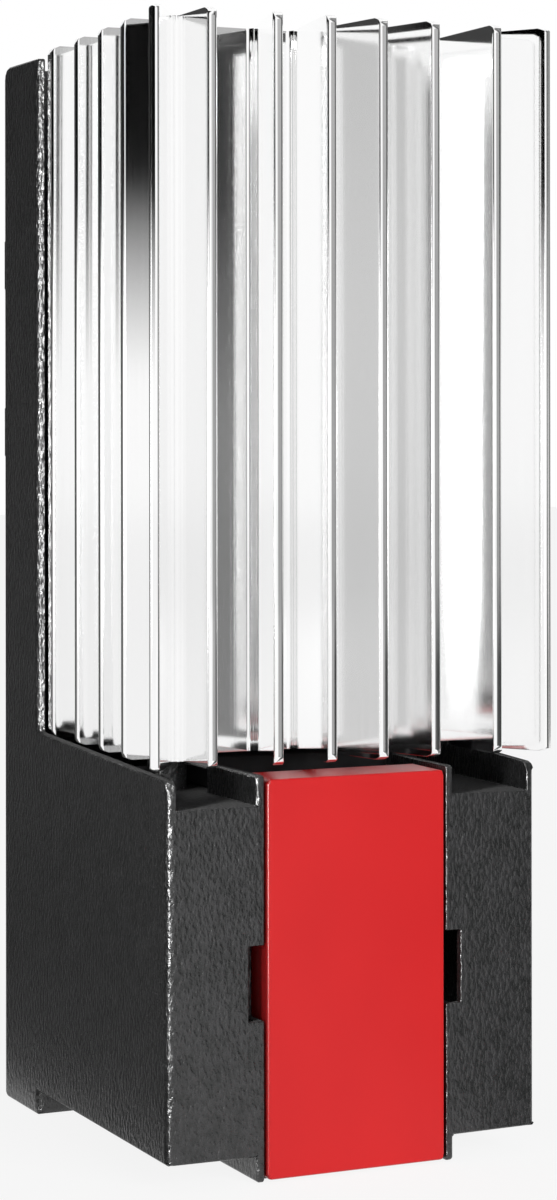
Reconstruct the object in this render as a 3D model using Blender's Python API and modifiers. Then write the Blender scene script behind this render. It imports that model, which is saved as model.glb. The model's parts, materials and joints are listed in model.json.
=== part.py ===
"""Enclosure heater: a finned aluminium convector standing on a moulded terminal box.

The part is modelled with its front face at y = 0 and its depth running back along +Y,
and an empty then moves everything so that the origin is the middle of its footprint.
Front is -Y, right is +X, up is +Z.  Lengths are in metres.
"""
import bmesh
import bpy
from math import atan2, ceil, cos, pi, radians, sin, sqrt, tan
from mathutils import Vector

MM = 0.001

# Terminal block: it sets the width of the channel round it
POLE_SPACING = 8.5 * MM
BLOCK_END_WALL = 4.3 * MM
BLOCK_DEPTH = 18.0 * MM
BLOCK_STANDOFF = 6.0 * MM
BLOCK_BOTTOM = 20.0 * MM
BLOCK_TOP = 36.0 * MM
BLOCK_CLEARANCE = 2.05 * MM
POCKET_HALF = 3.0 * MM
POCKET_MARGIN = 3.0 * MM
CAGE_SETBACK = 1.5 * MM
CAGE_WALL = 1.0 * MM
CAGE_FRONT_WALL = 2.5 * MM
CAGE_DEPTH = 10.2 * MM
WIRE_HOLE_RADIUS = 1.9 * MM
EAR_HALF = 3.5 * MM
EAR_HEIGHT = 6.5 * MM
EAR_THICKNESS = 2.5 * MM

# Housing
WALL = 1.4 * MM
BAY_WIDTH = 13.95 * MM
BASE_DEPTH = 52.8 * MM
DUCT_DEPTH = 15.5 * MM
BODY_HEIGHT = 167.4 * MM
BASE_LIFT = 3.7 * MM
ROOF_TOP = 54.3 * MM
RIM_RISE_FRONT = 4.2 * MM
RIM_RISE_REAR = 6.3 * MM
RIM_CORNER_RADIUS = 1.5 * MM
TOP_CORNER_RADIUS = 2.0 * MM
FOOT_CORNER_RADIUS = 1.0 * MM
EDGE_RADIUS = 0.45 * MM
FOOT_FLOOR = 2.0 * MM

# Middle channel with the terminal compartment
CHANNEL_WALL = 1.2 * MM
CHANNEL_RISE = 4.4 * MM
COMPARTMENT_DEPTH = 36.0 * MM
COMPARTMENT_FLOOR = 1.6 * MM
NOTCH_REACH = 1.25 * MM
NOTCH_DEPTH = 4.4 * MM
NOTCH_BOTTOM = 23.3 * MM
NOTCH_TOP = 34.2 * MM
CABLE_HOLE_RADIUS = 4.5 * MM
CABLE_STANDOFF = 10.0 * MM

# Snap-in cover
COVER_CLEARANCE = 0.3 * MM
COVER_RISE = 3.8 * MM
COVER_BOTTOM = 0.3 * MM
COVER_PLATE = 1.6 * MM
COVER_PROUD = 0.35 * MM
COVER_WALL = 1.2 * MM
COVER_RETURN = 9.0 * MM
COVER_CORNER_RADIUS = 0.8 * MM
COVER_EDGE_RADIUS = 0.35 * MM
SNAP_HEIGHT = 0.9 * MM
SNAP_LENGTH = 1.8 * MM

# Aluminium extrusion
AIR_GAP = 5.8 * MM
SINK_RISE = 1.6 * MM
FIN_THICKNESS = 1.55 * MM
FIN_PROUD = 1.0 * MM
NOSE_RADIUS = 0.5 * MM
ROOT_RADIUS = 0.9 * MM
NOSE_TRIM = 1.3 * MM
CORE_FRONT = 18.5 * MM
CORE_FRONT_WALL = 2.2 * MM
CORE_WALL = 1.7 * MM
MIDDLE_FIN_TIP = 4.28 * MM
FAN_FIN_ROOT = 7.3 * MM
FAN_FIN_TIP = 12.95 * MM
CORNER_FIN_ROOT = 10.8 * MM
CORNER_FIN_ANGLE = radians(32.8)
CORNER_FIN_LENGTH = 14.0 * MM
SIDE_FIN_DEPTHS = (15.1 * MM, 25.6 * MM, 37.1 * MM)
SIDE_TIP_OVERHANG = 1.4 * MM
SIDE_TIP_INSET = 1.4 * MM
BACK_PLATE = 2.8 * MM
BACK_CLEARANCE = 0.6 * MM
RIB_SPACING = 11.4 * MM
PORT_RADIUS = 1.75 * MM
PORT_WALL = 2.65 * MM
PORT_CLEARANCE = 0.85 * MM

# Heating element stack in the tunnel, front to rear
FIT = 0.3 * MM
FILM_THICKNESS = 0.3 * MM
ELECTRODE_THICKNESS = 0.6 * MM
STONE_THICKNESS = 2.6 * MM
WEDGE_THICKNESS = 1.9 * MM
STONE_INSET = 1.7 * MM
STONE_COUNT = 3
STONE_RISE = 10.9 * MM
STONE_GAP = 0.5 * MM
STACK_HEADROOM = 3.4 * MM
PLATE_MARGIN = 0.5 * MM
FILM_FOOT = 1.0 * MM
FILM_LAP = 3.0 * MM
TAB_HALF = 1.5 * MM
TAB_LENGTH = 4.0 * MM
CAP_HEIGHT = 5.5 * MM
CAP_RECESS = 0.6 * MM

# Socket between roof and extrusion
SOCKET_CLEARANCE = 1.6 * MM
SOCKET_LAP = 1.8 * MM
SOCKET_OVERLAP = 1.6 * MM
SPIGOT_INSET = 1.5 * MM
SPIGOT_REACH = 1.4 * MM
PLUG_HEIGHT = 6.0 * MM
LEAD_RADIUS = 0.9 * MM
LEAD_X = 6.0 * MM

# Cable clamp
CLAMP_INSET = 2.2 * MM
CLAMP_THICKNESS = 2.5 * MM
CLAMP_HEIGHT = 5.0 * MM
CLAMP_CENTRE = 9.0 * MM
CLAMP_SCREW_INSET = 3.0 * MM
CABLE_ROOM = 8.0 * MM
CABLE_RIB_HALF = 5.0 * MM

# Rail clip and rear pads
RAIL_DROP = 45.65 * MM
RAIL_HEIGHT = 35.0 * MM
RAIL_FLANGE = 1.0 * MM
PAD_PROUD = 1.2 * MM
PAD_WIDTH = 4.0 * MM
PAD_HEIGHT = 7.8 * MM
CLIP_HALF = 9.0 * MM
CLIP_THICKNESS = 0.8 * MM
CLIP_LIP = 3.6 * MM
CLIP_FLARE = 1.9 * MM
CLIP_BEND = 0.7 * MM
CLIP_SCREW_SPACING = 16.0 * MM

# Fixings
SCREW_HEAD_RADIUS = 2.7 * MM
SCREW_HEAD_HEIGHT = 1.5 * MM
SCREW_SHANK_RADIUS = 1.35 * MM
SCREW_SPARE = 1.0 * MM
SINK_SCREW_LENGTH = 16.0 * MM
BOSS_RADIUS = 3.0 * MM
BACK_BOSS_RADIUS = 4.3 * MM
BACK_SCREW_DROP = 17.4 * MM
LUG_THICKNESS = 0.6 * MM
LUG_RADIUS = 3.0 * MM
LUG_TAIL = 6.0 * MM
EARTH_HOLE_SETBACK = 6.9 * MM
EARTH_HOLE_DROP = 8.9 * MM

# Values worked out from the driving dimensions: across
BLOCK_HALF = POLE_SPACING + BLOCK_END_WALL
CHANNEL_INSIDE = BLOCK_HALF + BLOCK_CLEARANCE
CHANNEL_HALF = CHANNEL_INSIDE + CHANNEL_WALL
HALF = CHANNEL_HALF + BAY_WIDTH
INSIDE = HALF - WALL
PORT_X = CHANNEL_HALF + SCREW_HEAD_RADIUS + PORT_CLEARANCE
CORE_HALF = PORT_X + PORT_RADIUS + PORT_WALL
SOCKET_HALF = PORT_X - BOSS_RADIUS - SOCKET_CLEARANCE
TUNNEL_HALF = SOCKET_HALF - SOCKET_LAP
STONE_HALF = TUNNEL_HALF - STONE_INSET
SPIGOT_HALF = TUNNEL_HALF - SPIGOT_INSET
COVER_HALF = CHANNEL_INSIDE - COVER_CLEARANCE
CLAMP_HALF = CHANNEL_INSIDE - CLAMP_INSET
CLAMP_SCREW_X = CLAMP_HALF - CLAMP_SCREW_INSET
OUTER_FLUE = (RIB_SPACING + CORE_WALL / 2, CORE_HALF - CORE_WALL)
BACK_SCREW_X = sum(OUTER_FLUE) / 2

# Upward
ROOF_UNDERSIDE = ROOF_TOP - WALL
CHANNEL_TOP = ROOF_TOP + CHANNEL_RISE
COVER_TOP = ROOF_TOP + COVER_RISE
SINK_BOTTOM = ROOF_TOP + AIR_GAP
SINK_TOP = BODY_HEIGHT + SINK_RISE
RAIL_CENTRE = BODY_HEIGHT - RAIL_DROP
BACK_SCREW_HEIGHT = BODY_HEIGHT - BACK_SCREW_DROP
EARTH_HOLE_HEIGHT = ROOF_UNDERSIDE - EARTH_HOLE_DROP
STONE_START = SINK_BOTTOM + STONE_RISE
CAP_BOTTOM = SINK_TOP - CAP_RECESS - CAP_HEIGHT
STONE_END = CAP_BOTTOM - STACK_HEADROOM - FILM_LAP - PLATE_MARGIN
STONE_PITCH = (STONE_END - STONE_START + STONE_GAP) / STONE_COUNT
STONE_HEIGHT = STONE_PITCH - STONE_GAP

# Front to rear
BODY_DEPTH = BASE_DEPTH + DUCT_DEPTH
BACK_WALL = BODY_DEPTH - WALL
SINK_BACK = BASE_DEPTH - BACK_CLEARANCE
CELL_BACK = SINK_BACK - BACK_PLATE
TUNNEL_FRONT = CORE_FRONT + CORE_FRONT_WALL
STACK = 2 * FILM_THICKNESS + 2 * ELECTRODE_THICKNESS + STONE_THICKNESS + WEDGE_THICKNESS + 7 * FIT
TUNNEL_BACK = TUNNEL_FRONT + STACK
WEB_BACK = TUNNEL_BACK + CORE_WALL
PORT_DEPTH = (TUNNEL_FRONT + TUNNEL_BACK) / 2
CREST_DEPTH = TUNNEL_FRONT - SOCKET_OVERLAP - 3 * FIT
BLOCK_BACK = COMPARTMENT_DEPTH - BLOCK_STANDOFF
BLOCK_FRONT = BLOCK_BACK - BLOCK_DEPTH
CABLE_DEPTH = COMPARTMENT_DEPTH - CABLE_STANDOFF
CLAMP_BACK = CABLE_DEPTH - CABLE_ROOM / 2
CLAMP_FRONT = CLAMP_BACK - CLAMP_THICKNESS
EARTH_HOLE_DEPTH = PORT_DEPTH - EARTH_HOLE_SETBACK
CLIP_BOSS_FRONT = (SINK_BACK + BACK_WALL) / 2
HOLE_RADIUS = SCREW_SHANK_RADIUS + FIT
PAD_FACE = BODY_DEPTH + PAD_PROUD
CLIP_PLATE = BODY_DEPTH + FIT + CLIP_THICKNESS / 2
CLIP_LIP_DEPTH = PAD_FACE + RAIL_FLANGE + FIT + CLIP_THICKNESS / 2
CLIP_REACH = RAIL_HEIGHT / 2 + FIT + CLIP_THICKNESS / 2
REAR_MOST = CLIP_LIP_DEPTH + CLIP_FLARE
MID_DEPTH = (REAR_MOST - FIN_PROUD) / 2
ARC_STEP = radians(30)
GRID = 0.001 * MM

BLACK_PLASTIC = ("black_moulding", (0.035, 0.035, 0.036), 0.62, 0.0)
RED_PLASTIC = ("red_moulding", (0.70, 0.028, 0.030), 0.35, 0.0)
ALUMINIUM = ("extruded_aluminium", (0.82, 0.83, 0.84), 0.28, 1.0)
STONE = ("heating_ceramic", (0.16, 0.15, 0.15), 0.7, 0.0)
FILM = ("insulating_film", (0.72, 0.42, 0.08), 0.4, 0.0)
BRASS = ("nickel_plated_brass", (0.70, 0.66, 0.55), 0.3, 1.0)
STEEL = ("zinc_plated_steel", (0.66, 0.67, 0.68), 0.35, 1.0)
SPRING = ("spring_steel", (0.52, 0.53, 0.54), 0.3, 1.0)
SILICONE = ("black_silicone", (0.03, 0.03, 0.03), 0.65, 0.0)
BLOCK = ("grey_polyamide", (0.32, 0.33, 0.34), 0.5, 0.0)
BROWN_LEAD = ("brown_insulation", (0.16, 0.06, 0.03), 0.45, 0.0)
BLUE_LEAD = ("blue_insulation", (0.03, 0.10, 0.42), 0.45, 0.0)
EARTH_LEAD = ("green_yellow_insulation", (0.30, 0.48, 0.05), 0.45, 0.0)


# Scene

def clear_scene():
    for obj in list(bpy.data.objects):
        bpy.data.objects.remove(obj, do_unlink=True)


def new_collection(name):
    collection = bpy.data.collections.new(name)
    bpy.context.scene.collection.children.link(collection)
    return collection


clear_scene()
PARTS = new_collection("enclosure_heater")
CUTTERS = new_collection("cutters")
FRAME = bpy.data.objects.new("frame", None)
FRAME.location = (0.0, -MID_DEPTH, 0.0)
PARTS.objects.link(FRAME)


def material(spec):
    """The Principled material of one finish, made once and shared."""
    name, colour, roughness, metallic = spec
    if name in bpy.data.materials:
        return bpy.data.materials[name]
    made = bpy.data.materials.new(name)
    made.use_nodes = True
    shader = made.node_tree.nodes["Principled BSDF"]
    shader.inputs["Base Color"].default_value = (*colour, 1.0)
    shader.inputs["Roughness"].default_value = roughness
    shader.inputs["Metallic"].default_value = metallic
    return made


def place(obj, collection, spec=None):
    collection.objects.link(obj)
    obj.parent = FRAME
    if spec:
        obj.data.materials.append(material(spec))
    if collection is CUTTERS:
        obj.hide_render = True
        obj.display_type = "WIRE"
    return obj


# Shapes

def mesh_object(name, bm, collection, spec=None):
    """An object at the origin; points lie on a 1 micron grid, so faces meant to be flush are."""
    for vert in bm.verts:
        vert.co = [round(c / GRID) * GRID for c in vert.co]
    mesh = bpy.data.meshes.new(name)
    bm.to_mesh(mesh)
    bm.free()
    return place(bpy.data.objects.new(name, mesh), collection, spec)


def box(name, x, y, z, spec=None):
    """A block between two values on each axis; a cutter when it has no finish."""
    bm = bmesh.new()
    bmesh.ops.create_cube(bm, size=1.0)
    size = Vector((x[1] - x[0], y[1] - y[0], z[1] - z[0]))
    middle = Vector((x[0] + x[1], y[0] + y[1], z[0] + z[1])) / 2
    bmesh.ops.scale(bm, vec=size, verts=bm.verts)
    bmesh.ops.translate(bm, vec=middle, verts=bm.verts)
    return mesh_object(name, bm, PARTS if spec else CUTTERS, spec)


def cylinder(name, radius, start, end, spec=None, sides=24):
    """A round bar between two points that lie along one axis."""
    start, end = Vector(start), Vector(end)
    bm = bmesh.new()
    bmesh.ops.create_cone(bm, cap_ends=True, segments=sides, radius1=radius,
                          radius2=radius, depth=(end - start).length)
    turn = Vector((0, 0, 1)).rotation_difference(end - start).to_matrix().to_4x4()
    bmesh.ops.transform(bm, matrix=turn, verts=bm.verts)
    bmesh.ops.translate(bm, vec=(start + end) / 2, verts=bm.verts)
    return mesh_object(name, bm, PARTS if spec else CUTTERS, spec)


def rounded(corners):
    """The points of a closed outline whose corners (x, y, radius) become arcs.

    A radius is limited so that its arc takes at most 45 in 100 of each side it touches.
    """
    points = []
    count = len(corners)
    for i, (x, y, radius) in enumerate(corners):
        here = Vector((x, y))
        before = Vector(corners[i - 1][:2]) - here
        after = Vector(corners[(i + 1) % count][:2]) - here
        turn = pi - before.angle(after)
        reach = radius * tan(turn / 2)
        limit = 0.45 * min(before.length, after.length)
        if reach > limit:
            radius, reach = radius * limit / reach, limit
        if radius < 0.01 * MM:
            points.append((x, y))
            continue
        middle = here + (before.normalized() + after.normalized()).normalized() * (
            sqrt(radius * radius + reach * reach))
        first = here + before.normalized() * reach - middle
        side = 1.0 if before.x * after.y - before.y * after.x < 0 else -1.0
        steps = max(2, ceil(turn / ARC_STEP))
        for k in range(steps + 1):
            angle = side * turn * k / steps
            points.append((middle.x + first.x * cos(angle) - first.y * sin(angle),
                           middle.y + first.x * sin(angle) + first.y * cos(angle)))
    return points


def circle(x, y, radius, sides=20):
    return [(x + radius * cos(2 * pi * k / sides), y + radius * sin(2 * pi * k / sides))
            for k in range(sides)]


def prism(name, outline, low, high, spec=None, along="Z"):
    """A flat outline given thickness along Z, X or Y; its axes are the other two, in order."""
    if along == "Z":
        corner = lambda a, b, level: (a, b, level)
    elif along == "X":
        corner = lambda a, b, level: (level, a, b)
    else:
        corner = lambda a, b, level: (a, level, b)
    bm = bmesh.new()
    lower = [bm.verts.new(corner(a, b, low)) for a, b in outline]
    upper = [bm.verts.new(corner(a, b, high)) for a, b in outline]
    bm.faces.new(lower)
    bm.faces.new(upper[::-1])
    for i in range(len(outline)):
        bm.faces.new((lower[i - 1], upper[i - 1], upper[i], lower[i]))
    bmesh.ops.recalc_face_normals(bm, faces=bm.faces)
    return mesh_object(name, bm, PARTS if spec else CUTTERS, spec)


def boolean(obj, tool, operation):
    modifier = obj.modifiers.new(tool.name, "BOOLEAN")
    modifier.operation = operation
    modifier.object = tool
    modifier.solver = "EXACT"


def cut(obj, *tools):
    for tool in tools:
        boolean(obj, tool, "DIFFERENCE")


def add(obj, *tools):
    for tool in tools:
        boolean(obj, tool, "UNION")


def bevel(obj, width, segments=2, angle=40):
    modifier = obj.modifiers.new("edges", "BEVEL")
    modifier.width = width
    modifier.segments = segments
    modifier.limit_method = "ANGLE"
    modifier.angle_limit = radians(angle)


def screw(name, seat, direction, length, spec=STEEL):
    """A pan-head screw whose head rests on the point seat and whose shank runs along direction."""
    bm = bmesh.new()
    head, shank = SCREW_HEAD_RADIUS, SCREW_SHANK_RADIUS
    profile = ((0, SCREW_HEAD_HEIGHT), (0.7 * head, SCREW_HEAD_HEIGHT),
               (head, 0.55 * SCREW_HEAD_HEIGHT), (head, 0), (shank, 0),
               (shank, shank - length), (0, -length))
    verts = [bm.verts.new((x, 0, z)) for x, z in profile]
    for first, second in zip(verts, verts[1:]):
        bm.edges.new((first, second))
    obj = mesh_object(name, bm, PARTS, spec)
    turn = obj.modifiers.new("turn", "SCREW")
    turn.steps = turn.render_steps = 16
    turn.use_merge_vertices = True
    turn.merge_threshold = 0.01 * MM
    obj.location = seat
    obj.rotation_mode = "QUATERNION"
    obj.rotation_quaternion = Vector((0, 0, -1)).rotation_difference(Vector(direction))
    return obj


def lead(name, route, spec):
    """An insulated wire: a tube along a smooth curve through the route's points."""
    ends = [2 * Vector(route[0]) - Vector(route[1]), 2 * Vector(route[-1]) - Vector(route[-2])]
    stops = [ends[0]] + [Vector(p) for p in route] + [ends[1]]
    points = []
    for a, b, c, d in zip(stops, stops[1:], stops[2:], stops[3:]):
        for k in range(4):
            t = k / 4
            points.append(0.5 * (2 * b + (c - a) * t + (2 * a - 5 * b + 4 * c - d) * t * t
                                 + (3 * b - a - 3 * c + d) * t * t * t))
    points.append(stops[-2])
    curve = bpy.data.curves.new(name, "CURVE")
    curve.dimensions = "3D"
    curve.bevel_depth = LEAD_RADIUS
    curve.bevel_resolution = 2
    curve.use_fill_caps = True
    spline = curve.splines.new("POLY")
    spline.points.add(len(points) - 1)
    for target, point in zip(spline.points, points):
        target.co = (*point, 1.0)
    return place(bpy.data.objects.new(name, curve), PARTS, spec)


# Extrusion

def front_fin(root_x, tip_x):
    """Corners of one front fin: inner root, inner and outer nose, outer root."""
    nose = -FIN_PROUD
    half = FIN_THICKNESS / 2 / cos(atan2(tip_x - root_x, CORE_FRONT - nose))
    return [(root_x - half, CORE_FRONT, ROOT_RADIUS), (tip_x - half, nose, NOSE_RADIUS),
            (tip_x + half, nose, NOSE_RADIUS), (root_x + half, CORE_FRONT, ROOT_RADIUS)]


def side_tip(depth):
    """How far a side fin reaches from the middle; the row narrows toward the back."""
    front, back = HALF + SIDE_TIP_OVERHANG, HALF - SIDE_TIP_INSET
    return front + (back - front) * depth / SINK_BACK


def half_outline():
    """The right half of the section, from the front valley on the middle line to the back."""
    lean = atan2(MIDDLE_FIN_TIP - FIN_THICKNESS / 2, CORE_FRONT + FIN_PROUD)
    middle = front_fin(FIN_THICKNESS / 2 / cos(lean), MIDDLE_FIN_TIP)
    corners = [(0.0, CORE_FRONT, ROOT_RADIUS)] + middle[1:]
    corners += front_fin(FAN_FIN_ROOT, FAN_FIN_TIP)
    corners += [(CORE_HALF - FIN_THICKNESS, CORE_FRONT, ROOT_RADIUS),
                (CORE_HALF - FIN_THICKNESS, -FIN_PROUD, NOSE_RADIUS),
                (CORE_HALF, -FIN_PROUD, NOSE_RADIUS),
                (CORE_HALF, CORNER_FIN_ROOT, ROOT_RADIUS / 2)]
    along = Vector((sin(CORNER_FIN_ANGLE), -cos(CORNER_FIN_ANGLE)))
    across = Vector((cos(CORNER_FIN_ANGLE), sin(CORNER_FIN_ANGLE)))
    inner = Vector((CORE_HALF, CORNER_FIN_ROOT)) + along * CORNER_FIN_LENGTH
    outer = inner + across * FIN_THICKNESS
    corners += [(*inner, NOSE_RADIUS), (*outer, NOSE_RADIUS),
                (CORE_HALF, CORNER_FIN_ROOT + FIN_THICKNESS / sin(CORNER_FIN_ANGLE), ROOT_RADIUS)]
    for depth in SIDE_FIN_DEPTHS:
        rear = depth + FIN_THICKNESS
        corners += [(CORE_HALF, depth, ROOT_RADIUS), (side_tip(depth), depth, NOSE_RADIUS),
                    (side_tip(rear), rear, NOSE_RADIUS), (CORE_HALF, rear, ROOT_RADIUS)]
    corners += [(CORE_HALF, CELL_BACK, ROOT_RADIUS), (side_tip(CELL_BACK), CELL_BACK, NOSE_RADIUS),
                (side_tip(SINK_BACK), SINK_BACK, NOSE_RADIUS)]
    return corners


def mirrored(corners):
    """A half outline closed by its mirror image; a corner on the middle line is kept once."""
    other = [(-x, y, r) for x, y, r in reversed(corners) if x > 0]
    return corners + other


def cell(left, right, front, back):
    return rounded([(left, front, ROOT_RADIUS), (right, front, ROOT_RADIUS),
                    (right, back, ROOT_RADIUS), (left, back, ROOT_RADIUS)])


def sink_envelope():
    """A block just round the fins, with rounded ends that trim every nose at top and bottom."""
    slack = 0.02 * MM
    front = -FIN_PROUD - slack
    reach = CORE_HALF + CORNER_FIN_LENGTH * sin(CORNER_FIN_ANGLE) + (
        FIN_THICKNESS * cos(CORNER_FIN_ANGLE)) + slack
    back = SINK_BACK + slack
    first = SIDE_FIN_DEPTHS[0]
    half = [(reach, front), (reach, CORNER_FIN_ROOT / 4), (side_tip(first / 2) + slack, first / 2),
            (side_tip(back) + slack, back)]
    outline = half + [(-x, y) for x, y in reversed(half)]
    envelope = prism("sink_envelope", outline, SINK_BOTTOM, SINK_TOP)
    bm = bmesh.new()
    bm.from_mesh(envelope.data)
    flat = [e for e in bm.edges if abs(e.verts[0].co.z - e.verts[1].co.z) < 0.01 * MM
            and e.is_manifold and e.calc_face_angle(0.0) > radians(45)]
    bmesh.ops.bevel(bm, geom=flat, offset=NOSE_TRIM, segments=2, profile=0.5, affect="EDGES")
    bm.to_mesh(envelope.data)
    bm.free()
    return envelope


def make_heatsink():
    spare = 2 * MM
    sink = prism("heatsink", rounded(mirrored(half_outline())), SINK_BOTTOM - spare,
                 SINK_TOP + spare, ALUMINIUM)
    boolean(sink, sink_envelope(), "INTERSECT")

    def hollow(name, outline):
        cut(sink, prism(name, outline, SINK_BOTTOM - 2 * spare, SINK_TOP + 2 * spare))

    hollow("tunnel", cell(-TUNNEL_HALF, TUNNEL_HALF, TUNNEL_FRONT, TUNNEL_BACK))
    wall = CORE_WALL / 2
    for side in (-1, 1):
        hollow("screw_port", circle(side * PORT_X, PORT_DEPTH, PORT_RADIUS))
        inner = sorted((side * wall, side * (RIB_SPACING - wall)))
        outer = sorted(side * edge for edge in OUTER_FLUE)
        hollow("inner_flue", cell(*inner, WEB_BACK, CELL_BACK))
        hollow("outer_flue", cell(*outer, WEB_BACK, CELL_BACK))
        x = side * BACK_SCREW_X
        cut(sink, cylinder("sink_back_hole", HOLE_RADIUS, (x, CELL_BACK - 2 * MM, BACK_SCREW_HEIGHT),
                           (x, SINK_BACK + 2 * MM, BACK_SCREW_HEIGHT)))
    return sink


# Housing

def side_profile():
    """Side view of the housing: the low box in front, the tall shell behind, one foot below it."""
    return rounded([(0, BASE_LIFT, EDGE_RADIUS), (BASE_DEPTH, BASE_LIFT, 0),
                    (BASE_DEPTH, 0, FOOT_CORNER_RADIUS), (BODY_DEPTH, 0, FOOT_CORNER_RADIUS),
                    (BODY_DEPTH, BODY_HEIGHT, TOP_CORNER_RADIUS),
                    (BASE_DEPTH, BODY_HEIGHT, EDGE_RADIUS),
                    (BASE_DEPTH, ROOF_TOP + RIM_RISE_REAR, EDGE_RADIUS),
                    (0, ROOF_TOP + RIM_RISE_FRONT, RIM_CORNER_RADIUS)])


def make_housing():
    housing = prism("housing", side_profile(), -HALF, HALF, BLACK_PLASTIC, along="X")
    bevel(housing, EDGE_RADIUS)
    beyond = 5 * MM
    sunk = 4 * MM

    # Channel block, full height below the roof and low beside the cover above it
    rear = COMPARTMENT_DEPTH + WALL
    keel = box("channel_keel", (-CHANNEL_HALF, CHANNEL_HALF), (0, rear), (0, BASE_LIFT + sunk))
    crest = box("channel_crest", (-CHANNEL_HALF, CHANNEL_HALF), (0, CREST_DEPTH),
                (ROOF_TOP - sunk, CHANNEL_TOP))
    bevel(keel, EDGE_RADIUS)
    bevel(crest, EDGE_RADIUS)

    # Open tray over the roof, carried on to the back as a flue behind the extrusion
    cut(housing, box("tray", (-INSIDE, INSIDE), (-beyond, BACK_WALL), (ROOF_TOP, BODY_HEIGHT + beyond)),
        box("flue", (-INSIDE, INSIDE), (BASE_DEPTH + WALL, BACK_WALL),
            (FOOT_FLOOR, BODY_HEIGHT + beyond)))
    add(housing, keel, crest)

    # Side and rear chambers, cored from below
    for side in (-1, 1):
        across = sorted((side * CHANNEL_HALF, side * INSIDE))
        cut(housing, box("side_chamber", across, (WALL, BASE_DEPTH - WALL), (-beyond, ROOF_UNDERSIDE)))
    cut(housing, box("rear_chamber", (-CHANNEL_INSIDE, CHANNEL_INSIDE), (rear, BASE_DEPTH - WALL),
                     (-beyond, ROOF_UNDERSIDE)))

    # Terminal compartment, rebate for the cover and the space over the roof
    inside = (-CHANNEL_INSIDE, CHANNEL_INSIDE)
    cut(housing, box("compartment", inside, (WALL, COMPARTMENT_DEPTH),
                     (COMPARTMENT_FLOOR, ROOF_UNDERSIDE)),
        box("cover_rebate", inside, (-beyond, COVER_PLATE + FIT), (-beyond, CHANNEL_TOP + beyond)),
        box("channel_space", inside, (-beyond, CREST_DEPTH + beyond),
            (ROOF_TOP, CHANNEL_TOP + beyond)))
    for side in (-1, 1):
        notch = sorted((side * (CHANNEL_INSIDE - FIT), side * (CHANNEL_HALF + NOTCH_REACH)))
        window = sorted((side * (CHANNEL_INSIDE - FIT), side * (CHANNEL_HALF + FIT)))
        catch = snap_depths()
        cut(housing, box("cover_notch", notch, (-beyond, NOTCH_DEPTH), (NOTCH_BOTTOM, NOTCH_TOP)),
            box("snap_window", window, (catch[0] - FIT, catch[1] + FIT), (NOTCH_BOTTOM, NOTCH_TOP)))

    add_bosses(housing)
    cut_passages(housing)
    return housing


def snap_depths():
    """Front and rear of the cover's snap noses, at the rear end of its side walls."""
    return COVER_RETURN - SNAP_LENGTH, COVER_RETURN


def add_bosses(housing):
    """Pillars, screw bosses and rail pads that belong to the moulding."""
    root = 0.6 * WALL
    for side in (-1, 1):
        x = side * PORT_X
        add(housing, cylinder("sink_pillar", BOSS_RADIUS, (x, PORT_DEPTH, ROOF_TOP - root),
                              (x, PORT_DEPTH, SINK_BOTTOM - FIT)))
        x = side * BACK_SCREW_X
        add(housing, cylinder("back_boss", BACK_BOSS_RADIUS, (x, SINK_BACK + FIT, BACK_SCREW_HEIGHT),
                              (x, BACK_WALL + root, BACK_SCREW_HEIGHT)))
        z = RAIL_CENTRE + side * CLIP_SCREW_SPACING / 2
        add(housing, cylinder("clip_boss", BOSS_RADIUS, (0, CLIP_BOSS_FRONT, z),
                              (0, BACK_WALL + root, z)))
        x = side * CLAMP_SCREW_X
        add(housing, cylinder("clamp_boss", BOSS_RADIUS,
                              (x, CLAMP_BACK + FIT, CLAMP_CENTRE),
                              (x, COMPARTMENT_DEPTH + root, CLAMP_CENTRE)))
        for end in (-1, 1):
            across = sorted((side * (HALF - PAD_WIDTH), side * (HALF - EDGE_RADIUS)))
            outer = RAIL_CENTRE + end * RAIL_HEIGHT / 2
            height = sorted((outer, outer - end * PAD_HEIGHT))
            add(housing, box("rail_pad", across, (BACK_WALL + root, PAD_FACE), height))
    add(housing, cylinder("block_boss", BOSS_RADIUS, (0, BLOCK_BACK + FIT, ear_height()),
                          (0, COMPARTMENT_DEPTH + root, ear_height())),
        box("cable_rib", (-CABLE_RIB_HALF, CABLE_RIB_HALF), (CLAMP_BACK + CABLE_ROOM, COMPARTMENT_DEPTH + root),
            (CLAMP_CENTRE - CLAMP_HEIGHT / 2, CLAMP_CENTRE + CLAMP_HEIGHT / 2)))


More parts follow.
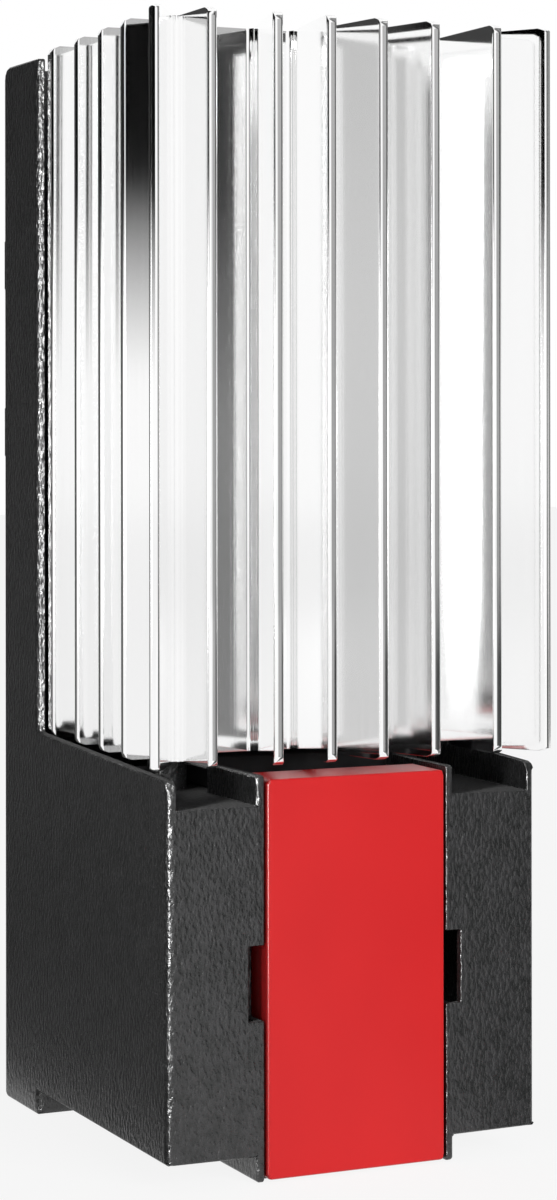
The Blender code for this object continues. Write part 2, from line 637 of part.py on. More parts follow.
def cut_passages(housing):
    """Screw holes, cable entry, lead holes and the opening for the socket."""
    for side in (-1, 1):
        x = side * PORT_X
        cut(housing, cylinder("pillar_hole", HOLE_RADIUS, (x, PORT_DEPTH, ROOF_UNDERSIDE - 2 * MM),
                              (x, PORT_DEPTH, SINK_BOTTOM + 2 * MM)))
        x, z = side * BACK_SCREW_X, BACK_SCREW_HEIGHT
        cut(housing, cylinder("back_hole", HOLE_RADIUS, (x, SINK_BACK - 2 * MM, z),
                              (x, BODY_DEPTH + 2 * MM, z)),
            cylinder("back_counterbore", SCREW_HEAD_RADIUS + FIT,
                     (x, BODY_DEPTH - SCREW_HEAD_HEIGHT - 2 * FIT, z), (x, BODY_DEPTH + 2 * MM, z)))
        z = RAIL_CENTRE + side * CLIP_SCREW_SPACING / 2
        cut(housing, cylinder("clip_hole", HOLE_RADIUS, (0, CLIP_BOSS_FRONT - 2 * MM, z),
                              (0, BODY_DEPTH + 2 * MM, z)))
        x = side * CLAMP_SCREW_X
        cut(housing, cylinder("clamp_hole", HOLE_RADIUS, (x, CLAMP_BACK - 2 * MM, CLAMP_CENTRE),
                              (x, COMPARTMENT_DEPTH, CLAMP_CENTRE)))
    cut(housing, cylinder("block_hole", HOLE_RADIUS, (0, BLOCK_BACK - 2 * MM, ear_height()),
                          (0, COMPARTMENT_DEPTH, ear_height())),
        cylinder("cable_entry", CABLE_HOLE_RADIUS, (0, CABLE_DEPTH, -2 * MM),
                 (0, CABLE_DEPTH, COMPARTMENT_FLOOR + 2 * MM)),
        cylinder("earth_hole", LEAD_RADIUS + 2 * FIT,
                 (-CHANNEL_INSIDE + 2 * MM, EARTH_HOLE_DEPTH, EARTH_HOLE_HEIGHT),
                 (-CHANNEL_HALF - 2 * MM, EARTH_HOLE_DEPTH, EARTH_HOLE_HEIGHT)),
        box("socket_opening", (-SPIGOT_HALF - FIT, SPIGOT_HALF + FIT),
            (spigot_depths()[0] - FIT, spigot_depths()[1] + FIT),
            (ROOF_UNDERSIDE - 2 * MM, ROOF_TOP + 2 * MM)))


# Cover

def make_cover():
    """The snap-in cap: face plate, two side walls with snap noses, and a top return."""
    half = COVER_HALF
    face = rounded([(-half, COVER_BOTTOM, COVER_CORNER_RADIUS), (half, COVER_BOTTOM, COVER_CORNER_RADIUS),
                    (half, COVER_TOP, COVER_CORNER_RADIUS), (-half, COVER_TOP, COVER_CORNER_RADIUS)])
    cover = prism("terminal_cover", face, -COVER_PROUD, COVER_RETURN, RED_PLASTIC, along="Y")
    bevel(cover, COVER_EDGE_RADIUS, angle=50)
    beyond = 5 * MM
    cut(cover, box("cover_inside", (-half + COVER_WALL, half - COVER_WALL),
                   (COVER_PLATE, COVER_RETURN + beyond), (-beyond, COVER_TOP - COVER_WALL)),
        box("cover_over_roof", (-half - beyond, half + beyond), (COVER_PLATE, COVER_RETURN + beyond),
            (ROOF_UNDERSIDE - FIT, ROOF_TOP + FIT)),
        box("cover_over_floor", (-half - beyond, half + beyond), (COVER_PLATE, COVER_RETURN + beyond),
            (-beyond, COMPARTMENT_FLOOR + FIT)))
    return cover


def add_snaps(cover):
    half = COVER_HALF
    front, rear = snap_depths()
    middle = (NOTCH_BOTTOM + NOTCH_TOP) / 2
    reach = (NOTCH_TOP - NOTCH_BOTTOM) / 2 - 1 * MM
    for side in (-1, 1):
        base = side * (half - COVER_WALL / 2)
        tip = side * (half + SNAP_HEIGHT)
        outline = [(base, front), (tip, front), (side * (half + 0.2 * SNAP_HEIGHT), rear), (base, rear)]
        add(cover, prism("snap_nose", outline, middle - reach, middle + reach))


# Parts in the tunnel of the extrusion

def make_stack():
    """Film, electrode, ceramic stones, electrode, film and clamping wedge, front to rear."""
    low, high = STONE_START - PLATE_MARGIN, STONE_END + PLATE_MARGIN
    depth = TUNNEL_FRONT + FIT
    film_half = TUNNEL_HALF - 2 * FIT
    plate_half = STONE_HALF + PLATE_MARGIN

    def layer(name, half, thickness, bottom, top, spec):
        nonlocal depth
        part = box(name, (-half, half), (depth, depth + thickness), (bottom, top), spec)
        span = (depth, depth + thickness)
        depth += thickness + FIT
        return part, span

    layer("insulating_film_front", film_half, FILM_THICKNESS, low - FILM_FOOT, high + FILM_LAP, FILM)
    front, front_span = layer("electrode_front", plate_half, ELECTRODE_THICKNESS, low, high, BRASS)
    stone_span = (depth, depth + STONE_THICKNESS)
    depth += STONE_THICKNESS + FIT
    rear, rear_span = layer("electrode_rear", plate_half, ELECTRODE_THICKNESS, low, high, BRASS)
    layer("insulating_film_rear", film_half, FILM_THICKNESS, low - FILM_FOOT, high + FILM_LAP, FILM)
    wedge_span = (depth, depth + WEDGE_THICKNESS)

    for index in range(STONE_COUNT):
        bottom = STONE_START + index * STONE_PITCH
        stone = box("ptc_stone_%d" % (index + 1), (-STONE_HALF, STONE_HALF), stone_span,
                    (bottom, bottom + STONE_HEIGHT), STONE)
        bevel(stone, 0.25 * MM, 1)
    for plate, span, x in ((front, front_span, -LEAD_X), (rear, rear_span, LEAD_X)):
        add(plate, box("electrode_tab", (x - TAB_HALF, x + TAB_HALF), span,
                       (low - TAB_LENGTH, low + 1 * MM)))

    side = [(wedge_span[0], low), (wedge_span[1], low), (wedge_span[1], high),
            (wedge_span[0] + 0.4 * WEDGE_THICKNESS, high)]
    prism("clamp_wedge", side, -STONE_HALF, STONE_HALF, ALUMINIUM, along="X")
    return front_span, rear_span


def spigot_depths():
    return TUNNEL_FRONT + 2 * FIT + 0.1 * MM, TUNNEL_BACK - 4 * FIT


def make_socket(lead_depths):
    """The insulating socket that stands on the roof and plugs the tunnel's lower end."""
    socket = box("core_socket", (-SOCKET_HALF, SOCKET_HALF),
                 (TUNNEL_FRONT - SOCKET_OVERLAP, TUNNEL_BACK + SOCKET_OVERLAP),
                 (ROOF_TOP + FIT, SINK_BOTTOM - FIT), SILICONE)
    bevel(socket, 0.5 * MM, 1)
    spigot = box("socket_spigot", (-SPIGOT_HALF, SPIGOT_HALF), spigot_depths(),
                 (ROOF_UNDERSIDE - SPIGOT_REACH, ROOF_TOP + 1 * MM))
    plug = box("socket_plug", (-TUNNEL_HALF + FIT, TUNNEL_HALF - FIT),
               (TUNNEL_FRONT + FIT, TUNNEL_BACK - FIT),
               (SINK_BOTTOM - 1 * MM, SINK_BOTTOM + PLUG_HEIGHT))
    bevel(plug, ROOT_RADIUS, 2)
    add(socket, spigot, plug)
    for x, depth in lead_depths:
        cut(socket, cylinder("lead_bore", LEAD_RADIUS + FIT, (x, depth, ROOF_UNDERSIDE - 4 * MM),
                             (x, depth, SINK_BOTTOM + PLUG_HEIGHT + 2 * MM), sides=12))
    cap = box("core_cap", (-TUNNEL_HALF + FIT, TUNNEL_HALF - FIT),
              (TUNNEL_FRONT + FIT, TUNNEL_BACK - FIT),
              (CAP_BOTTOM, CAP_BOTTOM + CAP_HEIGHT), SILICONE)
    bevel(cap, ROOT_RADIUS, 2)


# Terminal compartment

def ear_height():
    return BLOCK_TOP + EAR_HEIGHT / 2


def cage_depths():
    front = BLOCK_FRONT + CAGE_SETBACK
    return front, front + CAGE_DEPTH


def wire_depth():
    """Depth at which a conductor stands in its clamp, just off the slot's rear wall."""
    return cage_depths()[1] - CAGE_WALL - FIT - LEAD_RADIUS


def make_terminals():
    block = box("terminal_block", (-BLOCK_HALF, BLOCK_HALF), (BLOCK_FRONT, BLOCK_BACK),
                (BLOCK_BOTTOM, BLOCK_TOP), BLOCK)
    bevel(block, 0.5 * MM, 1)
    ear = box("block_ear", (-EAR_HALF, EAR_HALF), (BLOCK_BACK - EAR_THICKNESS, BLOCK_BACK - 0.01 * MM),
              (BLOCK_TOP - 1 * MM, BLOCK_TOP + EAR_HEIGHT))
    add(block, ear)
    cut(block, cylinder("ear_hole", HOLE_RADIUS, (0, BLOCK_BACK - EAR_THICKNESS - 2 * MM, ear_height()),
                        (0, BLOCK_BACK + 2 * MM, ear_height())))
    seat = BLOCK_BACK - EAR_THICKNESS - FIT
    screw("block_screw", (0, seat, ear_height()), (0, 1, 0), COMPARTMENT_DEPTH - SCREW_SPARE - seat)

    low, high = BLOCK_BOTTOM + POCKET_MARGIN, BLOCK_TOP - POCKET_MARGIN
    middle = (low + high) / 2
    front, back = cage_depths()
    for name, x in (("live", -POLE_SPACING), ("earth", 0.0), ("neutral", POLE_SPACING)):
        cut(block, box("pole_pocket", (x - POCKET_HALF, x + POCKET_HALF),
                       (BLOCK_FRONT - 2 * MM, back + FIT), (low, high)),
            cylinder("wire_hole", WIRE_HOLE_RADIUS, (x, wire_depth(), BLOCK_BOTTOM - 2 * MM),
                     (x, wire_depth(), BLOCK_TOP + 2 * MM), sides=16))
        half = POCKET_HALF - FIT
        cage = box("clamp_cage_" + name, (x - half, x + half), (front, back),
                   (low + FIT, high - FIT), BRASS)
        cut(cage, box("cage_slot", (x - half + CAGE_WALL, x + half - CAGE_WALL),
                      (front + CAGE_FRONT_WALL, back - CAGE_WALL), (low - 2 * MM, high + 2 * MM)),
            cylinder("cage_thread", HOLE_RADIUS, (x, front - 2 * MM, middle),
                     (x, front + CAGE_FRONT_WALL + 1 * MM, middle), sides=16))
        length = wire_depth() - LEAD_RADIUS - FIT - (front - FIT)
        screw("clamp_screw_" + name, (x, front - FIT, middle), (0, 1, 0), length, BRASS)
    return middle


def make_leads(lead_depths, clamp_height):
    """Leads from the electrodes down to their clamps, and from the earth clamp to the extrusion."""
    wire = wire_depth()
    top = STONE_START - PLATE_MARGIN - FIT
    for (x, depth), name, spec in zip(lead_depths, ("live", "neutral"), (BROWN_LEAD, BLUE_LEAD)):
        pole = -POLE_SPACING if x < 0 else POLE_SPACING
        lead("lead_" + name, [(x, depth, top), (x, depth, SINK_BOTTOM), (x, depth, ROOF_UNDERSIDE - 3 * MM),
                              ((x + pole) / 2, (depth + wire) / 2, (ROOF_UNDERSIDE + BLOCK_TOP) / 2),
                              (pole, wire, BLOCK_TOP - 1 * MM), (pole, wire, clamp_height)], spec)
    lug_z = ROOF_UNDERSIDE - FIT - LUG_THICKNESS
    tail = PORT_DEPTH - LUG_TAIL + 1 * MM
    lead("lead_earth", [(0, wire, clamp_height), (0, wire, BLOCK_TOP - 1 * MM),
                        (-2 * MM, wire - 1 * MM, BLOCK_TOP + 4 * MM),
                        (-8 * MM, EARTH_HOLE_DEPTH, EARTH_HOLE_HEIGHT),
                        (-CHANNEL_HALF, EARTH_HOLE_DEPTH, EARTH_HOLE_HEIGHT),
                        (-PORT_X, EARTH_HOLE_DEPTH - 0.6 * MM, EARTH_HOLE_HEIGHT + 2 * MM),
                        (-PORT_X - 0.3 * MM, tail, lug_z - FIT - LEAD_RADIUS)], EARTH_LEAD)


# Fixings

def make_sink_fixings():
    """Two screws up through the roof into the extrusion's ports, two from behind, and the lug."""
    lug_top = ROOF_UNDERSIDE - FIT
    tail = LUG_RADIUS / 2
    ring = [(LUG_RADIUS * cos(a), LUG_RADIUS * sin(a)) for a in
            (radians(-60 + 300 * k / 20) for k in range(21))]
    outline = [(x - PORT_X, y + PORT_DEPTH) for x, y in ring]
    outline += [(-PORT_X - tail, PORT_DEPTH - LUG_TAIL), (-PORT_X + tail, PORT_DEPTH - LUG_TAIL)]
    lug = prism("earth_lug", outline, lug_top - LUG_THICKNESS, lug_top, BRASS)
    cut(lug, cylinder("lug_hole", HOLE_RADIUS, (-PORT_X, PORT_DEPTH, lug_top - 2 * MM),
                      (-PORT_X, PORT_DEPTH, lug_top + 2 * MM), sides=16))
    screw("sink_screw_left", (-PORT_X, PORT_DEPTH, lug_top - LUG_THICKNESS - FIT), (0, 0, 1),
          SINK_SCREW_LENGTH)
    screw("sink_screw_right", (PORT_X, PORT_DEPTH, lug_top), (0, 0, 1), SINK_SCREW_LENGTH)
    seat = BODY_DEPTH - SCREW_HEAD_HEIGHT - FIT
    for name, x in (("left", -BACK_SCREW_X), ("right", BACK_SCREW_X)):
        screw("back_screw_" + name, (x, seat, BACK_SCREW_HEIGHT), (0, -1, 0),
              seat - CELL_BACK + SCREW_SPARE)


def make_cable_clamp():
    front, back = CLAMP_FRONT, CLAMP_BACK
    low, high = CLAMP_CENTRE - CLAMP_HEIGHT / 2, CLAMP_CENTRE + CLAMP_HEIGHT / 2
    bar = box("cable_clamp", (-CLAMP_HALF, CLAMP_HALF), (front, back), (low, high), BLACK_PLASTIC)
    bevel(bar, 0.4 * MM, 1)
    for name, x in (("left", -CLAMP_SCREW_X), ("right", CLAMP_SCREW_X)):
        cut(bar, cylinder("bar_hole", HOLE_RADIUS, (x, front - 2 * MM, CLAMP_CENTRE),
                          (x, back + 2 * MM, CLAMP_CENTRE), sides=16))
        screw("clamp_bar_screw_" + name, (x, front - FIT, CLAMP_CENTRE), (0, 1, 0),
              COMPARTMENT_DEPTH - SCREW_SPARE - front)


def ribbon(points, thickness):
    """The closed outline of a strip that follows an open bent line, with mitred bends."""
    left, right = [], []
    for i, point in enumerate(points):
        here = Vector(point)
        steps = []
        if i > 0:
            steps.append((here - Vector(points[i - 1])).normalized())
        if i < len(points) - 1:
            steps.append((Vector(points[i + 1]) - here).normalized())
        along = sum(steps, Vector((0, 0))).normalized()
        normal = Vector((-along.y, along.x))
        reach = thickness / 2 / normal.dot(Vector((-steps[0].y, steps[0].x)))
        left.append(here + normal * reach)
        right.append(here - normal * reach)
    return [tuple(p) for p in left + right[::-1]]


def make_rail_clip():
    """Spring clip for the rail: a flat strip whose ends hook behind the rail's two flanges."""
    bend = CLIP_BEND
    upper = [(CLIP_PLATE, CLIP_REACH - bend), (CLIP_PLATE + bend / 2, CLIP_REACH),
             (CLIP_LIP_DEPTH - bend / 2, CLIP_REACH), (CLIP_LIP_DEPTH, CLIP_REACH - bend),
             (CLIP_LIP_DEPTH, CLIP_REACH - CLIP_LIP),
             (CLIP_LIP_DEPTH + CLIP_FLARE - CLIP_THICKNESS / 3, CLIP_REACH - CLIP_LIP - CLIP_FLARE)]
    path = [(d, -z) for d, z in reversed(upper)] + upper
    outline = ribbon([(d, RAIL_CENTRE + z) for d, z in path], CLIP_THICKNESS)
    clip = prism("rail_clip", outline, -CLIP_HALF, CLIP_HALF, SPRING, along="X")
    for name, side in (("lower", -1), ("upper", 1)):
        z = RAIL_CENTRE + side * CLIP_SCREW_SPACING / 2
        seat = CLIP_PLATE + CLIP_THICKNESS / 2 + FIT
        cut(clip, cylinder("clip_screw_hole", HOLE_RADIUS, (0, CLIP_PLATE - 2 * MM, z),
                           (0, CLIP_PLATE + 2 * MM, z), sides=16))
        screw("clip_screw_" + name, (0, seat, z), (0, -1, 0), seat - CLIP_BOSS_FRONT - SCREW_SPARE)


# Assembly

make_heatsink()
make_housing()
add_snaps(make_cover())
front_plate, rear_plate = make_stack()
LEADS = ((-LEAD_X, front_plate[1] + FIT + LEAD_RADIUS), (LEAD_X, rear_plate[0] - FIT - LEAD_RADIUS))
make_socket(LEADS)
make_leads(LEADS, make_terminals())
make_sink_fixings()
make_cable_clamp()
make_rail_clip()
bpy.context.view_layer.update()
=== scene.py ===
"""Looks of the enclosure heater: finishes, softened edges, rear screws, floor, light
and camera.

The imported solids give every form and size. The big mouldings and the extrusion are
shown as merged copies with rounded edges, and every piece gets the finish of its
real material, patterned in object coordinates. Lengths are written in mm, which MM
turns to the scene's metres.
"""

import json
from math import cos, radians

import bmesh
import bpy
import numpy as np
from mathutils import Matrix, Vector


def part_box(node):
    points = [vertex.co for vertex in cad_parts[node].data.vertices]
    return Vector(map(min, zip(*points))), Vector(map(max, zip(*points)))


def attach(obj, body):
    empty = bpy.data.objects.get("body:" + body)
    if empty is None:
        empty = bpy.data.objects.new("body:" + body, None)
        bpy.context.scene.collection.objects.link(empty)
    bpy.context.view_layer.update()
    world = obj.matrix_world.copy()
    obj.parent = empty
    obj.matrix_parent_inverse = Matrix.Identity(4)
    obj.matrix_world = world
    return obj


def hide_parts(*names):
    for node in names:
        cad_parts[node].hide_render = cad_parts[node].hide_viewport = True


MM = 0.001

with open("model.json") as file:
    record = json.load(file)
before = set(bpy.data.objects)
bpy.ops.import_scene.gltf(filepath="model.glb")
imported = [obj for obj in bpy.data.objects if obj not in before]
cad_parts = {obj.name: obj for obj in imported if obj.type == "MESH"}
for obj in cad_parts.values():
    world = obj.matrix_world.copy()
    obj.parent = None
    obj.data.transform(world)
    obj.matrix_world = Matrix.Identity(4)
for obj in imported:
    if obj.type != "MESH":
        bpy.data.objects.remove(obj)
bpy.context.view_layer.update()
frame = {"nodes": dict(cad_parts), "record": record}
NODES = frame["nodes"]
SLOT_OF = {part["node"]: part["material_slot"] for part in frame["record"]["subparts"]}


def linear(hex_colour):
    """sRGB hex to linear RGBA: each channel c is c / 12.92 in the toe and
    ((c + 0.055) / 1.055) ** 2.4 above it."""
    channels = [int(hex_colour[i : i + 2], 16) / 255 for i in (1, 3, 5)]
    return (
        *(c / 12.92 if c <= 0.04045 else ((c + 0.055) / 1.055) ** 2.4 for c in channels),
        1.0,
    )


def add_node(tree, kind, settings=None, **inputs):
    """Adds a shader node, sets its settings, and links or sets each input. An input goes
    by its name, with _ for a space, or by its number, as i0."""
    node = tree.nodes.new(kind)
    for name, value in (settings or {}).items():
        setattr(node, name, value)
    for name, value in inputs.items():
        key = int(name[1:]) if name[1:].isdigit() else name.replace("_", " ")
        socket = node.inputs[key]
        if isinstance(value, bpy.types.NodeSocket):
            tree.links.new(value, socket)
        else:
            socket.default_value = value
    return node


def finish_shader(name):
    """A new material: itself, its tree, its Principled shader and object coordinates."""
    made = bpy.data.materials.new(name)
    made.use_nodes = True
    tree = made.node_tree
    shader = tree.nodes["Principled BSDF"]
    where = add_node(tree, "ShaderNodeTexCoord").outputs["Object"]
    return made, tree, shader, where


def grains(tree, where, width, length, detail=2.0):
    """Noise whose blobs are width mm across and length mm tall."""
    across, upward = 1 / (width * MM), 1 / (length * MM)
    spread = add_node(
        tree, "ShaderNodeMapping", None, Vector=where, Scale=(across, across, upward)
    )
    return add_node(
        tree, "ShaderNodeTexNoise", None, Vector=spread.outputs[0], Scale=1.0, Detail=detail
    ).outputs["Fac"]


def grained(
    name, blobs, tones, roughness, depth=0.0,
    ends=(0.3, 0.7), raised=None, metallic=0.0, ior=1.5, specular=0.5,
):
    """A finish drawn by one pattern of blobs, given as width, length and detail. Between
    the pattern's two ends, the colour goes from the first tone to the second, and the
    roughness from its first value to its second. One tone or one value is even. The
    surface rises by depth times the pattern, or times a finer one, raised. An IOR of
    1.5 and a specular level of 0.5 are the shader's own, and a metal keeps them."""
    made, tree, shader, where = finish_shader(name)
    pattern = grains(tree, where, *blobs)
    share = add_node(
        tree, "ShaderNodeMapRange", None, Value=pattern, From_Min=ends[0], From_Max=ends[1]
    ).outputs[0]
    shader.inputs["Base Color"].default_value = linear(tones[0])
    if len(tones) == 2:
        colour = add_node(
            tree, "ShaderNodeMix", {"data_type": "RGBA"},
            i0=share, i6=linear(tones[0]), i7=linear(tones[1]),
        ).outputs[2]
        tree.links.new(colour, shader.inputs["Base Color"])
    shader.inputs["Roughness"].default_value = roughness[0]
    if len(roughness) == 2:
        shine = add_node(
            tree, "ShaderNodeMapRange", None,
            Value=share, To_Min=roughness[0], To_Max=roughness[1],
        ).outputs[0]
        tree.links.new(shine, shader.inputs["Roughness"])
    if depth:
        height = grains(tree, where, *raised) if raised else pattern
        relief = add_node(
            tree, "ShaderNodeBump", None, Strength=1.0, Distance=depth * MM, Height=height
        ).outputs[0]
        tree.links.new(relief, shader.inputs["Normal"])
    shader.inputs["Metallic"].default_value = metallic
    shader.inputs["IOR"].default_value = ior
    shader.inputs["Specular IOR Level"].default_value = specular
    return made


def spark_eroded_polycarbonate():
    """Black polycarbonate moulded in a spark-eroded tool: a matt leathery grain of
    shallow wrinkles, upright and about a millimetre long, which glint along edges, and
    broader clouds where the tool wore. Faces that look up are duller, and carry a painted
    shade: a darker colour standing for the fins above keeping the light off them."""
    made, tree, shader, where = finish_shader("spark_eroded_polycarbonate")
    wrinkles = add_node(
        tree, "ShaderNodeMapRange", None,
        Value=grains(tree, where, 0.6, 1.1, 1.0), From_Min=0.34, From_Max=0.66,
    ).outputs[0]
    clouds = add_node(
        tree, "ShaderNodeMapRange", None,
        Value=grains(tree, where, 2.6, 3.2), From_Min=0.35, From_Max=0.65,
        To_Min=-0.4, To_Max=0.4,
    ).outputs[0]
    tone = add_node(
        tree, "ShaderNodeMath", {"operation": "ADD", "use_clamp": True}, i0=wrinkles, i1=clouds
    ).outputs[0]
    # The real pits are 0.05 mm across. They are drawn at 0.24 mm to show at all.
    pits = grains(tree, where, 0.24, 0.24, 1.0)
    facing = add_node(tree, "ShaderNodeTexCoord").outputs["Normal"]
    lift = add_node(tree, "ShaderNodeSeparateXYZ", None, Vector=facing).outputs["Z"]
    upward = add_node(
        tree, "ShaderNodeMapRange", None, Value=lift, From_Min=0.8, From_Max=0.98
    ).outputs[0]
    lit = add_node(
        tree, "ShaderNodeMix", {"data_type": "RGBA"},
        i0=tone, i6=linear("#191A1A"), i7=linear("#2C2C2D"),
    ).outputs[2]
    # Painted shade: faces that look up are mixed towards near-black, standing for the shade under
    # the fins.
    colour = add_node(
        tree, "ShaderNodeMix", {"data_type": "RGBA"}, i0=upward, i6=lit, i7=linear("#060607")
    ).outputs[2]
    tree.links.new(colour, shader.inputs["Base Color"])
    matt = add_node(
        tree, "ShaderNodeMapRange", None,
        Value=pits, From_Min=0.3, From_Max=0.7, To_Min=0.24, To_Max=0.44,
    ).outputs[0]
    dull = add_node(
        tree, "ShaderNodeMath", {"operation": "MULTIPLY"}, i0=upward, i1=0.95
    ).outputs[0]
    shine = add_node(tree, "ShaderNodeMath", {"operation": "MAXIMUM"}, i0=matt, i1=dull)
    tree.links.new(shine.outputs[0], shader.inputs["Roughness"])
    shader.inputs["IOR"].default_value = 1.58
    deep = add_node(
        tree, "ShaderNodeBump", None, Strength=1.0, Distance=0.09 * MM, Height=wrinkles
    ).outputs[0]
    fine = add_node(
        tree, "ShaderNodeBump", None,
        Strength=1.0, Distance=0.05 * MM, Height=pits, Normal=deep,
    ).outputs[0]
    tree.links.new(fine, shader.inputs["Normal"])
    return made


def heat_resistant_insulation(name, tones):
    """Heat-resistant wire insulation: an even colour, a soft shine and draw lines."""
    return grained(name, blobs=(0.3, 6, 1.0), tones=tones, roughness=[0.4], depth=0.01)


FINISHES = {
    "black_moulding": spark_eroded_polycarbonate(),
    # Red ABS from a polished tool: an even, strong colour under a smooth shine, with
    # the faint waviness of a moulded wall.
    "red_moulding": grained(
        "polished_red_abs", blobs=(9, 14, 0.0), tones=["#C91C1F", "#D02022"], ends=(0, 1),
        roughness=[0.32], depth=0.002, raised=(1.2, 1.2, 1.0), ior=1.54, specular=0.3,
    ),
    # Aluminium 6060 as extruded: bright, with lines from the die along its length, which
    # spread each reflection sideways. Real lines are hundredths of a millimetre wide,
    # and are drawn at 0.35 mm.
    "extruded_aluminium": grained(
        "bright_extruded_aluminium", blobs=(0.35, 90), tones=["#FDFDFD"],
        roughness=[0.05, 0.08], depth=0.0012, metallic=1.0,
    ),
    # Doped barium titanate, sintered: dark grey, dull and finely granular. Its real
    # grains are thousandths of a millimetre, and are drawn at 0.3 mm.
    "heating_ceramic": grained(
        "sintered_titanate", blobs=(0.3, 0.3, 3.0), tones=["#6A6664", "#7C7876"],
        roughness=[0.8], depth=0.02,
    ),
    # Polyimide film: clear amber with a gloss, a warm orange brown on metal.
    "insulating_film": grained(
        "amber_polyimide", blobs=(5, 5), tones=["#C27A1E", "#DA9A34"], ends=(0, 1),
        roughness=[0.18], ior=1.7,
    ),
    # Brass with satin nickel: a warm silver with a fine tumbled grain.
    "nickel_plated_brass": grained(
        "nickel_on_brass", blobs=(0.4, 0.4), tones=["#CFC8B8", "#DDD7C8"],
        roughness=[0.32], depth=0.008, metallic=1.0,
    ),
    # Steel with bright zinc: silvery with a faint blue cloud from the passivation bath,
    # and tumbling marks that break up the shine.
    "zinc_plated_steel": grained(
        "bright_zinc_plate", blobs=(1.6, 1.6), tones=["#C6CCD2", "#DADCDC"],
        roughness=[0.22, 0.38], depth=0.006, raised=(0.3, 0.3, 1.0), metallic=1.0,
    ),
    # Stainless spring strip: a cool grey with rolling lines along the strip. They are
    # finer than 0.1 mm, and are drawn at 0.25 mm.
    "spring_steel": grained(
        "tempered_spring_strip", blobs=(0.25, 24, 1.0), tones=["#B4B6B9", "#C2C4C6"],
        roughness=[0.26, 0.4], depth=0.006, metallic=1.0,
    ),
    # Black silicone rubber: dull, with a faint grey bloom and no sharp shine.
    "black_silicone": grained(
        "moulded_silicone", blobs=(3, 3), tones=["#161617", "#202021"],
        roughness=[0.62], depth=0.02, ior=1.41,
    ),
    # Grey polyamide terminal block: satin, with a fine tool texture.
    "grey_polyamide": grained(
        "satin_grey_polyamide", blobs=(0.35, 0.35, 1.0), tones=["#97999B", "#A0A2A4"],
        roughness=[0.5], depth=0.012, ior=1.53,
    ),
    "brown_insulation": heat_resistant_insulation("brown_insulation", ["#4E2A1A", "#5E3422"]),
    "blue_insulation": heat_resistant_insulation("blue_insulation", ["#1F4FA0", "#2A60B8"]),
    "green_yellow_insulation": heat_resistant_insulation(
        "green_yellow_insulation", ["#4C9A2E", "#B8C832"]
    ),
}

for node_name, packed in NODES.items():
    packed.data.materials.clear()
    packed.data.materials.append(FINISHES[SLOT_OF[node_name]])


def shown_for(piece, node_name):
    """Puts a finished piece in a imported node's place, with its slot and finish."""
    piece.data.materials.clear()
    piece.data.materials.append(FINISHES[SLOT_OF[node_name]])
    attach(piece, "root")
    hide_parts(node_name)


# The housing's faces in the frame: its half width, the box's front, the rear wall that
# the pads stand on, and the front of the rear duct.
housing_low, housing_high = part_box("housing")
PAD_PROUD = 1.2
DUCT_DEPTH = 15.5
BOX_HALF = round(housing_high[0] / MM, 2)
BOX_FRONT = round(housing_low[1] / MM, 2)
REAR_WALL = round(housing_high[1] / MM - PAD_PROUD, 2)
DUCT_FRONT = REAR_WALL - DUCT_DEPTH

# Radii of the housing's upright corners, as packed and as shown, and how far out the
# middle of a shown one lies.
PACKED_CORNER = 0.43
SHOWN_CORNER = 1.15
CORNER_MIDDLE = BOX_HALF - (1 - cos(radians(45))) * SHOWN_CORNER

# Radii of the edge in the middle of an upright corner, of the rail pads' edges and of
# the others. An upright corner's edge is longer than LONG_EDGE.
MIDDLE_RADIUS = 0.4
PAD_RADIUS = 0.08
EDGE_RADIUS = 0.22
LONG_EDGE = 20

# The cover's half width without its snap noses, and its upright corners' radii.
COVER_HALF = 14.55
COVER_FRONT = round(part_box("terminal_cover")[0][1] / MM, 2)
PACKED_COVER_CORNER = 0.35
SHOWN_COVER_CORNER = 0.75

# Points closer than the first are welded, and those within the second of a wall, line
# or rounding count as on it.
WELD_DISTANCE = 0.002
REACH = 0.03


def grow_corners(shape, corners):
    """Makes upright roundings larger. For each (x, y, r, R), on both sides, the points
    near the sharp corner c, which lie on the radius r, move to c + (p - c) * R / r."""
    for vert in shape.verts:
        side = 1 if vert.co.x > 0 else -1
        for x, y, small, large in corners:
            across, along = vert.co.x / MM - side * x, vert.co.y / MM - y
            if max(abs(across), abs(along)) < small + REACH:
                vert.co.x = (side * x + across * large / small) * MM
                vert.co.y = (y + along * large / small) * MM
                break


